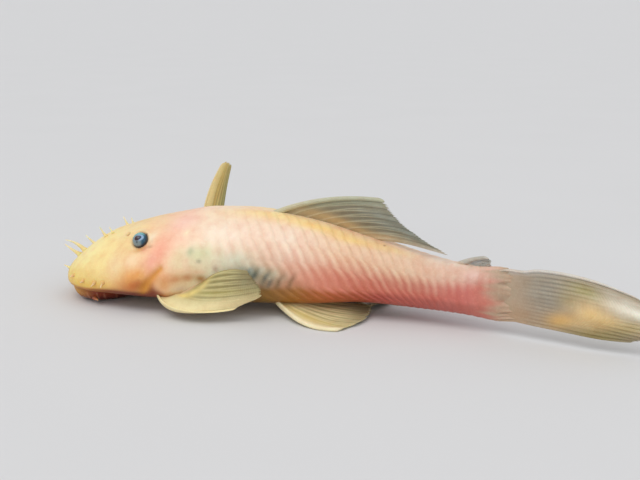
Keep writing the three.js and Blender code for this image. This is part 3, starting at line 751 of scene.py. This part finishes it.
def eye_paint(flank, turn, tilt):
    ring = np.where(tilt > pi / 2, 2, np.sin(tilt) / sin(radians(EYE_SHOWN)))
    # x runs towards the tail and y up, as shares of the visible radius
    x, y = -flank * ring * np.cos(turn), ring * np.sin(turn)
    along, across = (x - 0.08) * 0.87 + (y + 0.02) * 0.5, (y + 0.02) * 0.87 - (x - 0.08) * 0.5
    pupil = np.hypot(along / 0.42, across / 0.27)
    iris = between("3f8f9c", "84c4bc", smooth(y - 0.4 * x, 0.1, 0.8))
    iris = glazed(iris, "17506a", smooth(x - 0.2 * y, 0.3, 0.75))
    # 8b9a99 over the lower front of the iris is a painted reflection
    iris = glazed(iris, "8b9a99", (1 - smooth(y, -0.5, -0.05)) * (1 - smooth(x, 0.35, 0.7)))
    streak = 0.5 + 0.5 * np.sin(turn * 34 + 3 * np.sin(turn * 5))
    iris = glazed(iris, "12465a", 0.25 * streak)
    silver = between("7f8f94", "93b2d2", smooth(x + 0.6 * y, -0.05, 0.35))
    dark = between("3c1116", "0d1a38", smooth(along, -0.1, 0.2))
    paint = mixed(dark, silver, smooth(pupil, 0.9, 1.2))
    paint = mixed(paint, iris, smooth(pupil, 1.5, 1.85))
    paint = glazed(paint, "16242e", 0.9 * bell((x - 0.06) / 0.12) * bell((y + 0.52) / 0.12))
    return glazed(paint, "122a38", smooth(ring, 0.84, 1.0))


def eye_form(flank, u, v):
    """An eyeball that bulges a little along its gaze."""
    centre, out = eye_seat(flank)
    up = unit(np.array((0.0, 0.0, 1.0)) - out * out[2])
    fore = np.cross(up, out)
    turn, tilt = u * 2 * pi, v * pi
    radial = np.cos(turn)[:, None] * fore + np.sin(turn)[:, None] * up
    ball = np.cos(tilt)[:, None] * out + np.sin(tilt)[:, None] * radial
    bulge = 1 + 0.06 * bell(tilt / 0.6)
    points = centre + EYE_RADIUS * bulge[:, None] * ball
    return points, {"paint": eye_paint(flank, turn, tilt)}


for flank, word in ((LEFT, "left"), (RIGHT, "right")):
    eye = wrapped(f"eyeball_{word}", 96, 64, eye_form, flank)
    dressed(eye, EYE, "eye", f"eye_{word}")


# Fins

def curve_through(spots, t):
    """A centripetal curve through three spots, at t from 0 to 1."""
    a, b, c = (np.array(p, float) for p in spots)
    before, after = 2 * a - b, 2 * c - b
    made = []
    for p0, p1, p2, p3 in ((before, a, b, c), (a, b, c, after)):
        d0, d1, d2 = (np.linalg.norm(q - p) ** 0.5 for p, q in ((p0, p1), (p1, p2), (p2, p3)))
        s1 = ((p1 - p0) / d0 - (p2 - p0) / (d0 + d1) + (p2 - p1) / d1) * d1
        s2 = ((p2 - p1) / d1 - (p3 - p1) / (d1 + d2) + (p3 - p2) / d2) * d1
        made.append((p1, s1, -3 * p1 + 3 * p2 - 2 * s1 - s2, 2 * p1 - 2 * p2 + s1 + s2))
    first = (t < 0.5)[:, None]
    w = np.where(t < 0.5, 2 * t, 2 * t - 1)[:, None]
    parts = [np.where(first, one, two) for one, two in zip(*made)]
    return parts[0] + w * (parts[1] + w * (parts[2] + w * parts[3]))


def fan_point(fin, u, v):
    """A point of the fin's middle sheet: each ray bows from the root line to the tip line."""
    a, b, c = (curve_through(line, u) for line in (fin.root, fin.bow, fin.tip))
    v = v[:, None]
    p = a * (1 - v) ** 2 + b * 2 * v * (1 - v) + c * v * v
    return place(p[:, 0], p[:, 1], p[:, 2])


def sheet_step(fin, u, v, across, along):
    start = fan_point(fin, np.maximum(u - across, 0), np.maximum(v - along, 0))
    return fan_point(fin, np.minimum(u + across, 1), np.minimum(v + along, 1)) - start


def forked_rays(fin, u, y, offset):
    """How much of a ray each point has. The rays fork twice."""
    run = np.minimum(u + FAN_STEP, 1) - np.maximum(u - FAN_STEP, 0)
    room = np.linalg.norm(sheet_step(fin, u, y, FAN_STEP, 0), axis=1) / run * fin.pitch
    thick = 0.4 + (0.13 - 0.4) * smooth(y, 0, 0.85)
    slim = np.clip(thick / np.maximum(room, 0.05), 0.05, 0.42)
    first = 0.23 * smooth(y, fin.fork, fin.fork + 0.5)
    second = 0.11 * smooth(y, fin.fork + 0.26, fin.fork + 0.6)
    branches = (first + second, first - second, second - first, -first - second)
    return np.max([bell((offset - branch) / slim) for branch in branches], axis=0)


def fin_form(fin, x, y):
    """A fan with two faces, of a spine, forked rays and thin skin."""
    width = len(fin.across) - 1
    column = np.rint(x * 2 * width).astype(int)
    face = np.where(column <= width, 1.0, -1.0)
    u = fin.across[np.where(column <= width, column, 2 * width - column)]
    in_rays = (u - fin.spine_share) / fin.pitch + 0.45
    number = np.clip(np.rint(in_rays), 1, fin.rays - 1)
    offset = in_rays - number
    fleshy = 1 - smooth(u, fin.fleshy - 0.06, fin.fleshy + 0.06)
    thin = 1 - fleshy
    plain = np.zeros(len(u))
    for at_u, at_v, reach_u, reach_v in fin.plain:
        patch = bell(((u - at_u) / reach_u) ** 2) * bell(((y - at_v) / reach_v) ** 2)
        plain = np.maximum(plain, patch)
    ray = forked_rays(fin, u, y, offset) * np.where(u < fin.spine_share, 0, 1)
    ray *= 1 - fin.uneven * (0.5 + 0.5 * np.sin(number * 4.7))
    ray *= thin * (1 - 0.9 * plain) * smooth(y, *fin.rising)
    in_spine = np.clip(u / fin.spine_share, 0, 1)
    round_spine = np.sqrt(np.clip(1 - (2 * in_spine - 1) ** 2, 0, 1))

    # The rear edge is notched between the rays and rounded at the front
    firm = np.maximum(np.maximum(ray, round_spine), fleshy)
    reach = 1 - NOTCH * (1 - firm) - 0.012 * thin * np.abs(np.sin(number * 12.9898))
    reach -= fin.rounded * (1 - smooth(u, 0, 0.44)) ** 1.5
    v = y * reach

    # Half the thickness: skin, rays, flesh and the barbed spine, closed at every edge
    half = 0.075 + (0.42 + (0.14 - 0.42) * smooth(v, 0, 0.9)) * ray * fin.relief
    half += fin.flesh * fleshy * (1 - 0.6 * v)
    barbs = 1 + 0.1 * np.sin(v * 190 + 3 * face) * smooth(v, 0.05, 0.2)
    spine = (fin.spine + (fin.spine_tip - fin.spine) * v) / 2 * round_spine * barbs
    half = np.maximum(half, np.where(u < fin.spine_share, spine, 0))
    half *= np.sqrt(np.clip((1 - y) / 0.03, 0, 1)) * np.clip(y / 0.01, 0, 1)
    half *= np.where((u <= 0) | (u >= 1), 0, 1)

    across_rays = sheet_step(fin, u, v, FAN_STEP, 0)
    out = unit(np.cross(across_rays, sheet_step(fin, u, v, 0, FAN_STEP)))
    ripple = fin.ripple * smooth(v, 0.15, 0.9)
    ripple *= smooth(u, fin.spine_share, fin.spine_share + 0.1)
    waves = 0.3 * thin * (1 - plain) * np.sin(offset * 2 * pi)
    waves += 0.9 * np.sin(u * 9 + v * 7) + 0.5 * thin * np.sin(u * 23 - v * 11)
    points = fan_point(fin, u, v) + (ripple * waves + face * half)[:, None] * out
    points[:, 2] -= fin.dip * bell((v - 0.2) / 0.07) * bell(u / 0.16)
    points[:, 2] = np.maximum(points[:, 2], 0)

    shown = np.maximum(np.maximum(ray, fleshy), smooth(round_spine, 0.1, 0.6))
    shown = np.maximum(shown, plain)
    paint, veil = fin_paint(fin, u, v, shown, in_spine, offset * (1 - plain))
    return points, {"paint": paint, "veil": veil, "ray": shown, "along": v}


def fin_paint(fin, u, v, shown, in_spine, offset):
    """Paint of a fin, and how opaque it is."""
    membrane, ray, spine, base, base_reach, clear = fin.paints
    paint = between(membrane, ray, np.clip(shown, 0, 1) ** 0.8)
    edge = bell((np.abs(offset) - 0.42) / 0.1) * (1 - shown)
    paint = mixed(paint, paint * 0.8, edge * smooth(v, 0.05, 0.4))
    paint = glazed(paint, spine, (in_spine < 1) * 0.95)
    paint = glazed(paint, base, 1 - smooth(v, base_reach * 0.3, base_reach))
    solid = np.maximum(shown, 1 - smooth(v, base_reach * 0.5, base_reach * 1.5))
    for at_u, at_v, reach_u, reach_v, colour, strength, fill in fin.dabs:
        amount = bell((u - at_u) / reach_u) * bell((v - at_v) / reach_v)
        paint = glazed(paint, colour, strength * amount * (1 - 0.25 * shown))
        solid = np.maximum(solid, fill * amount)
    return paint, np.clip(clear + (1 - clear) * np.clip(solid, 0, 1), 0, 1)


def fan(rays, spine, lines, rows, root, bow, tip, paints, dabs=(), spine_tip=0.8,
        relief=0.5, ripple=0.18, fork=0.34, rising=(0, 0.06), uneven=0, plain=(),
        fleshy=-1.0, flesh=0.3, rounded=0, dip=0):
    """The measures of a fin. root, bow and tip each pass through three places along, across
    and up. paints are those of membrane, rays, spine and base, then the base's reach and how
    opaque the membrane is. Dabs are as on the skin, and then how opaque they are."""
    spine_share = 0.78 / rays
    pitch = (1 - spine_share) / (rays - 1)
    across = np.concatenate((
        np.linspace(0, spine_share, SPINE_LINES + 1)[:-1],
        np.linspace(spine_share, 1, lines + 1),
    ))
    return SimpleNamespace(**locals())


FINS = {
    "dorsal_fin": fan(
        rays=8, spine=1.5, lines=180, rows=90, relief=0.26, fork=0.26,
        root=((0.464, 0, 0.178), (0.59, 0, 0.162), (0.7, 0, 0.138)),
        bow=((0.585, -0.004, 0.238), (0.685, -0.01, 0.198), (0.78, -0.016, 0.15)),
        tip=((0.735, -0.006, 0.232), (0.787, -0.016, 0.184), (0.895, -0.018, 0.13)),
        paints=("8a846a", "aca688", "bebea0", "f4d088", 0.12, 0.92), dabs=(
            (0, 0.4, 0.06, 0.6, "ccccb0", 0.8, 0.9),
            (0.14, 0.55, 0.06, 0.5, "98a084", 0.6, 0.5),
            (0.5, 0.22, 0.5, 0.12, "d8b478", 0.6, 0.7),
            (0.92, 0.34, 0.12, 0.4, "d2bc94", 0.75, 0.7),
            (0.6, 0.9, 0.5, 0.32, "7e8880", 0.8, 0.4), (1.0, 0.9, 0.08, 0.4, "c8baa6", 0.8, 0.7),
        ),
    ),
    "adipose_fin": fan(
        rays=2, spine=1.2, lines=26, rows=26,
        root=((0.893, 0, 0.11), (0.925, 0, 0.108), (0.96, 0, 0.108)),
        bow=((0.93, 0.001, 0.131), (0.945, 0.001, 0.124), (0.968, 0, 0.114)),
        tip=((0.965, 0.002, 0.136), (0.978, 0.002, 0.129), (0.98, 0, 0.119)),
        paints=("a6a49c", "b0ada2", "c6c0b2", "e0c8b0", 0.3, 0.62),
    ),
    "anal_fin": fan(
        rays=5, spine=0.95, lines=70, rows=46,
        root=((0.655, 0.004, 0.022), (0.672, 0, 0.024), (0.69, -0.004, 0.026)),
        bow=((0.705, 0.016, 0.001), (0.715, 0.006, 0.002), (0.73, -0.004, 0.003)),
        tip=((0.765, 0.032, 0.003), (0.785, 0.016, 0.004), (0.775, -0.004, 0.005)),
        paints=("9c8058", "b8966a", "c09c70", "b4604a", 0.35, 0.9),
    ),
    "tail_fin": fan(
        rays=15, spine=1.3, lines=300, rows=110, ripple=0.3, relief=0.14,
        rising=(0.1, 0.34), fork=0.24, dip=0.45, uneven=0.4,
        plain=((0.62, 0.6, 0.28, 0.2), (0.36, 0.82, 0.24, 0.2)),
        root=((0.985, 0, 0.112), (0.985, 0, 0.064), (0.985, 0, 0.016)),
        bow=((1.146, 0.004, 0.15), (1.16, -0.006, 0.072), (1.12, 0.002, 0.006)),
        tip=((1.275, 0.008, 0.09), (1.345, -0.006, 0.044), (1.27, 0.002, 0.006)),
        paints=("989078", "b6a992", "dcd6ca", "b6a28a", 0.34, 0.94), dabs=(
            (0.5, 0.06, 0.7, 0.1, "b8a48a", 0.9, 0.95),
            (0.03, 0.24, 0.06, 0.28, "e0dcd2", 0.85, 0.8),
            (0.85, 0.26, 0.26, 0.16, "c69c70", 0.5, 0.6),
            (0.42, 0.34, 0.5, 0.14, "8e8f8a", 0.5, 0.3),
            (0.42, 0.46, 0.16, 0.07, "a89450", 0.5, 0.3),
            # eeb85a, ffd892 and eec880 are painted light: a glow where the fin is folded and light
            # shines through it
            (0.78, 0.47, 0.16, 0.09, "eeb85a", 0.8, 1),
            (0.58, 0.58, 0.22, 0.085, "ffd892", 1.0, 1),
            (0.64, 0.68, 0.24, 0.1, "eec880", 0.9, 1), (0.62, 0.82, 0.22, 0.1, "ae9c5c", 0.85, 1),
            (0.22, 0.58, 0.13, 0.1, "a19a60", 0.9, 0.85),
            (0.95, 0.76, 0.16, 0.22, "7c702e", 0.9, 0.85),
            (0.38, 0.82, 0.17, 0.15, "fffaea", 1.0, 1),
        ),
    ),
    "pectoral_fin_left": fan(
        rays=11, spine=2.0, spine_tip=1.0, lines=240, rows=90, fork=0.34,
        fleshy=0.46, relief=0.2, ripple=0.1, rising=(0.22, 0.42), rounded=0.1,
        root=((0.262, -0.13, 0.022), (0.314, -0.136, 0.03), (0.366, -0.128, 0.047)),
        bow=((0.33, -0.255, -0.014), (0.385, -0.215, 0.02), (0.43, -0.168, 0.106)),
        tip=((0.487, -0.145, 0.016), (0.512, -0.15, 0.046), (0.48, -0.146, 0.088)),
        paints=("a3985e", "c6ba82", "fae8ac", "eec49a", 0.14, 0.96), dabs=(
            (0.62, 0.06, 0.3, 0.1, "d2b294", 0.8, 1), (0.12, 0.5, 0.3, 0.9, "fcebb4", 0.97, 1),
            (0.3, 0.82, 0.18, 0.26, "ffe8ae", 0.95, 1),
            (0.47, 0.18, 0.1, 0.07, "fbe38c", 0.85, 1),
            (0.62, 0.235, 0.1, 0.07, "f6de8c", 0.8, 1),
            (0.78, 0.3, 0.14, 0.07, "ecd48a", 0.75, 1), (0.97, 0.16, 0.1, 0.1, "a87a36", 0.7, 1),
            (0.8, 0.97, 0.36, 0.26, "6c6242", 0.9, 0.5),
            (0.62, 0.55, 0.06, 0.3, "b8ac60", 0.5, 0.7),
        ),
    ),
    "pectoral_fin_right": fan(
        rays=7, spine=2.0, spine_tip=0.9, lines=140, rows=80, fork=0.42,
        fleshy=0.34, relief=0.22, ripple=0.1,
        root=((0.256, 0.13, 0.03), (0.276, 0.134, 0.036), (0.296, 0.132, 0.042)),
        bow=((0.196, 0.26, 0.14), (0.232, 0.25, 0.13), (0.27, 0.235, 0.115)),
        tip=((0.252, 0.3, 0.238), (0.272, 0.283, 0.246), (0.288, 0.262, 0.242)),
        paints=("a8944c", "c4ae68", "e2d29a", "e6bc84", 0.12, 0.96), dabs=(
            (0.08, 0.6, 0.26, 0.7, "e4d096", 0.95, 1),
            (0.47, 0.55, 0.07, 0.6, "a88a36", 0.8, 0.95),
            (0.95, 0.6, 0.26, 0.6, "7a7e4c", 0.9, 0.8),
        ),
    ),
    "pelvic_fin_left": fan(
        rays=8, spine=1.3, lines=160, rows=70, relief=0.24, fleshy=0.16,
        ripple=0.12, flesh=0.16, fork=0.26,
        root=((0.498, -0.06, 0.014), (0.512, -0.053, 0.013), (0.53, -0.042, 0.012)),
        bow=((0.598, -0.192, -0.02), (0.63, -0.105, -0.014), (0.622, -0.02, -0.004)),
        tip=((0.7, -0.16, -0.015), (0.732, -0.082, -0.012), (0.712, 0.012, -0.002)),
        paints=("cfc48e", "eee2b0", "f6e8b8", "f8dca4", 0.16, 0.94), dabs=(
            (0.02, 0.5, 0.1, 0.9, "f8ecc4", 0.95, 1), (0.2, 0.4, 0.12, 0.5, "e6cf80", 0.8, 1),
            (0.7, 0.2, 0.4, 0.16, "fbe8b4", 0.8, 0.9),
            (0.72, 0.95, 0.4, 0.2, "70694e", 0.85, 0.5),
        ),
    ),
}


def other_side(spots, spread):
    return tuple((at, -side * spread, up) for at, side, up in spots)


LEFT_PELVIC = FINS["pelvic_fin_left"]
FINS["pelvic_fin_right"] = SimpleNamespace(**{
    **vars(LEFT_PELVIC),
    "root": other_side(LEFT_PELVIC.root, 1),
    "bow": other_side(LEFT_PELVIC.bow, 0.92),
    "tip": other_side(LEFT_PELVIC.tip, 0.9),
})

for name, fin in FINS.items():
    columns = 2 * (SPINE_LINES + fin.lines)
    piece = wrapped(name.replace("_fin", "_fan"), columns, fin.rows, fin_form, fin)
    dressed(piece, FIN, "fin_rays", name)


# Tentacles of the snout

def tentacle_form(root, direction, length, thick, thin, curl, paints, wriggle, u, v):
    """A soft tapered tentacle that starts inside the skin and curls up."""
    direction = unit(direction)
    aside = unit(np.cross(direction, (0.0, 0.0, 1.0)))
    above = np.cross(aside, direction)
    turn = u * 2 * pi
    out = v * (length + 1.0) - 1.0
    reach = np.clip(out, 0, None)
    radius = thin + (thick - thin) * (1 - smooth(out, -0.4, length)) ** 1.1
    radius += 0.5 * thick * bell((out + 0.1) / 0.5)
    radius *= np.sqrt(np.clip((1 - v) / 0.06, 0, 1)) * (v > 0)
    sway = wriggle * np.sin(reach / length * 5.0)
    centre = root + out[:, None] * direction + sway[:, None] * aside
    centre[:, 2] += curl * reach ** 2 / length
    ring = np.cos(turn)[:, None] * aside + np.sin(turn)[:, None] * above
    paint = between(paints[0], paints[1], np.clip(out / length, 0, 1))
    return centre + radius[:, None] * ring, {"paint": paint}


def tentacle(name, *given):
    return wrapped(name, 12, 22, tentacle_form, *given)


def rooted_tentacles():
    """The tentacles point forward and a little out."""
    for side in (LEFT, RIGHT):
        for i, (at, angle, length, lean, curl) in enumerate(TENTACLES):
            if i == LEFT_ONLY and side == RIGHT:
                continue
            turned, lean = on_side(side, angle), radians(lean)
            out, thick, paints = (0.3, 0.14, SNOUT_PAINTS) if lean > 0 else (0.55, 0.22, RIM_PAINTS)
            forward = np.array((-cos(lean), 0.12 * side, sin(lean)))
            direction = out * skin_normal(at, turned) + forward
            thick += 0.085 * min(length, 4.3)
            yield tentacle(
                f"tentacle_{side}_{i}", skin_point(at, turned), direction, length, thick,
                0.13, curl, paints, 0.1 * sin(i * 1.7),
            )


tentacles = joined("snout_tentacles", list(rooted_tentacles()))
dressed(tentacles, TENTACLE, "snout_skin")


# Lips and mouth

def lip_form(u, v):
    """The sucker disc: a ring with a frilled rim and rows of papillae underneath."""
    turn = u * 2 * pi
    r, z = (np.interp(v, LIP_PROFILE[:, 0], LIP_PROFILE[:, i]) for i in (1, 2))
    under = smooth(v, 0.14, 0.22) * (1 - smooth(v, 0.62, 0.7))
    warts = np.sin(r * 2 * pi / 0.95) * np.sin(turn * 34 + np.floor(r / 0.475) * 1.57)
    z = z - under * (0.12 + 0.14 * warts)
    frill = smooth(v, 0.64, 0.74) * (1 - smooth(v, 0.84, 0.92))
    folds = np.sin(turn * 21 + 2 * np.sin(turn * 5))
    folds += 0.6 * np.sin(turn * 47 + 3 * np.sin(turn * 3))
    r = r + 0.045 * frill * folds
    x, y = r * np.cos(turn), r * MOUTH_WIDENING * np.sin(turn)
    points = np.stack((MOUTH_CENTRE[0] + x, MOUTH_CENTRE[1] + y, np.maximum(z, 0)), -1)

    # The lips' sides: their own gold and orange-brown, with painted shade making them red-brown to
    # maroon at the rear under the head, and darkest low down near the floor
    rear = smooth(np.cos(turn), -0.7, 0.25)
    side = between("d09a3c", "843414", rear)
    low_side = between("a8642c", "6a2414", rear)
    side = mixed(side, low_side, smooth(2.3 - z, 0, 1.3))
    side = glazed(side, "4e1c10", smooth(1.0 - z, 0, 1.0) * (0.5 + 0.4 * rear))
    side = glazed(side, "d09a7c", 0.3 * frill * smooth(folds, 0.6, 1.5))
    paint = between("8c3526", "e2b494", smooth(v, 0.08, 0.24))
    paint = glazed(paint, "efd0b4", under * np.clip(0.5 - warts, 0, 1) * 0.6)
    return points, {"paint": mixed(paint, side, smooth(v, 0.6, 0.7))}


lips = wrapped("sucker_lips", 360, 90, lip_form)
dressed(lips, LIP, "lip_flesh", "lips")


def tooth_rows():
    """Four curved rows of fine rasping teeth inside the opening."""
    for row, (fore, flank) in enumerate(((-1, -1), (-1, 1), (1, -1), (1, 1))):
        for i in range(TEETH_IN_ROW):
            t = (i + 0.5) / TEETH_IN_ROW
            x, y = fore * (1.1 + 0.5 * sin(t * pi)), flank * (0.25 + 2.9 * t)
            root = np.array((MOUTH_CENTRE[0] + x, MOUTH_CENTRE[1] + y, 3.4))
            direction = np.array((-fore * 0.45, 0.1 * flank, -1.0))
            name = f"tooth_{row}_{i}"
            yield tentacle(name, root, direction, 1.5, 0.1, 0.05, -0.05, TOOTH_PAINTS, 0)


def barbel(flank):
    corner = flank * (MOUTH_HALF_WIDTH * STANDARD_LENGTH - 0.6)
    root = np.array((MOUTH_CENTRE[0] + 1.0, corner, 1.3))
    direction = np.array((0.9, flank * 1.0, 0.02))
    return tentacle("barbel", root, direction, 2.8, 0.42, 0.16, 0.02, BARBEL_PAINTS, 0)


teeth = joined("rasping_teeth", list(tooth_rows()))
dressed(teeth, TOOTH, "lip_flesh")
barbels = joined("lip_barbels", [barbel(LEFT), barbel(RIGHT)])
dressed(barbels, TENTACLE, "lip_flesh")


# Floor, light and camera

LAMP_TARGET = Vector((0.04, 0, 0.01))
LENS, SENSOR_WIDTH = 61.31, 36
CAMERA_PLACE = Vector((115.247, -230.092, 69.905)) * MM
CAMERA_ROUND, CAMERA_HEIGHT = radians(16.680), radians(12.741)


def stage():
    bpy.ops.mesh.primitive_plane_add(size=40, location=(0, 0, 0))
    floor = bpy.context.object
    floor.name = "floor"
    material, shader = new_material("pale_floor")
    where = added(shader, "ShaderNodeTexCoord", "Object", {})
    noise = added(shader, "ShaderNodeTexNoise", "Fac", {"Vector": where, "Scale": 20})
    span = {"Value": noise, "To Min": 0.69, "To Max": 0.71}
    tone = added(shader, "ShaderNodeMapRange", "Result", span)
    channels = {"Red": tone, "Green": tone, "Blue": tone}
    grey = added(shader, "ShaderNodeCombineColor", "Color", channels)
    wired(shader, {"Base Color": grey, "Roughness": 0.8, "Specular IOR Level": 0.2})
    floor.data.materials.append(material)
    world = bpy.data.worlds.new("studio")
    bpy.context.scene.world = world
    world.use_nodes = True
    sky = {"Color": (0.96, 0.97, 1.0, 1), "Strength": 0.69}
    wired(world.node_tree.nodes["Background"], sky)


def lamp(name, kind, where, power, spread, colour=(1, 1, 1)):
    """A lamp aimed at the fish: far light of a wide spread, or a nearby soft box."""
    light = bpy.data.lights.new(name, kind)
    light.energy, light.color = power, colour
    if kind == "SUN":
        light.angle = radians(spread)
    else:
        light.size = spread
    holder = bpy.data.objects.new(name, light)
    bpy.context.scene.collection.objects.link(holder)
    holder.location = where
    towards = LAMP_TARGET - Vector(where)
    holder.rotation_euler = towards.to_track_quat("-Z", "Y").to_euler()


def camera():
    """The camera that fits the photo."""
    lens = bpy.data.cameras.new("camera")
    lens.lens, lens.sensor_width = LENS, SENSOR_WIDTH
    lens.clip_start, lens.clip_end = 0.005, 50
    holder = bpy.data.objects.new("camera", lens)
    bpy.context.scene.collection.objects.link(holder)
    a, e = CAMERA_ROUND, CAMERA_HEIGHT
    back = Vector((sin(a) * cos(e), -cos(a) * cos(e), sin(e)))
    right = Vector((cos(a), sin(a), 0))
    up = back.cross(right)
    turn = Matrix((right, up, back)).transposed().to_4x4()
    holder.matrix_world = Matrix.Translation(CAMERA_PLACE) @ turn
    bpy.context.scene.camera = holder


stage()
lamp("key", "SUN", (-0.25, -0.45, 0.9), 0.86, 50, (1.0, 0.98, 0.95))
lamp("fill", "SUN", (0.8, -0.7, 0.5), 0.3, 70, (0.97, 0.98, 1.0))
lamp("low_fill", "SUN", (0.15, -1.0, 0.14), 0.12, 40)
lamp("soft_box", "AREA", (-0.05, -0.35, 0.45), 0.12, 0.16)
camera()
bpy.context.scene.view_settings.view_transform = "Standard"
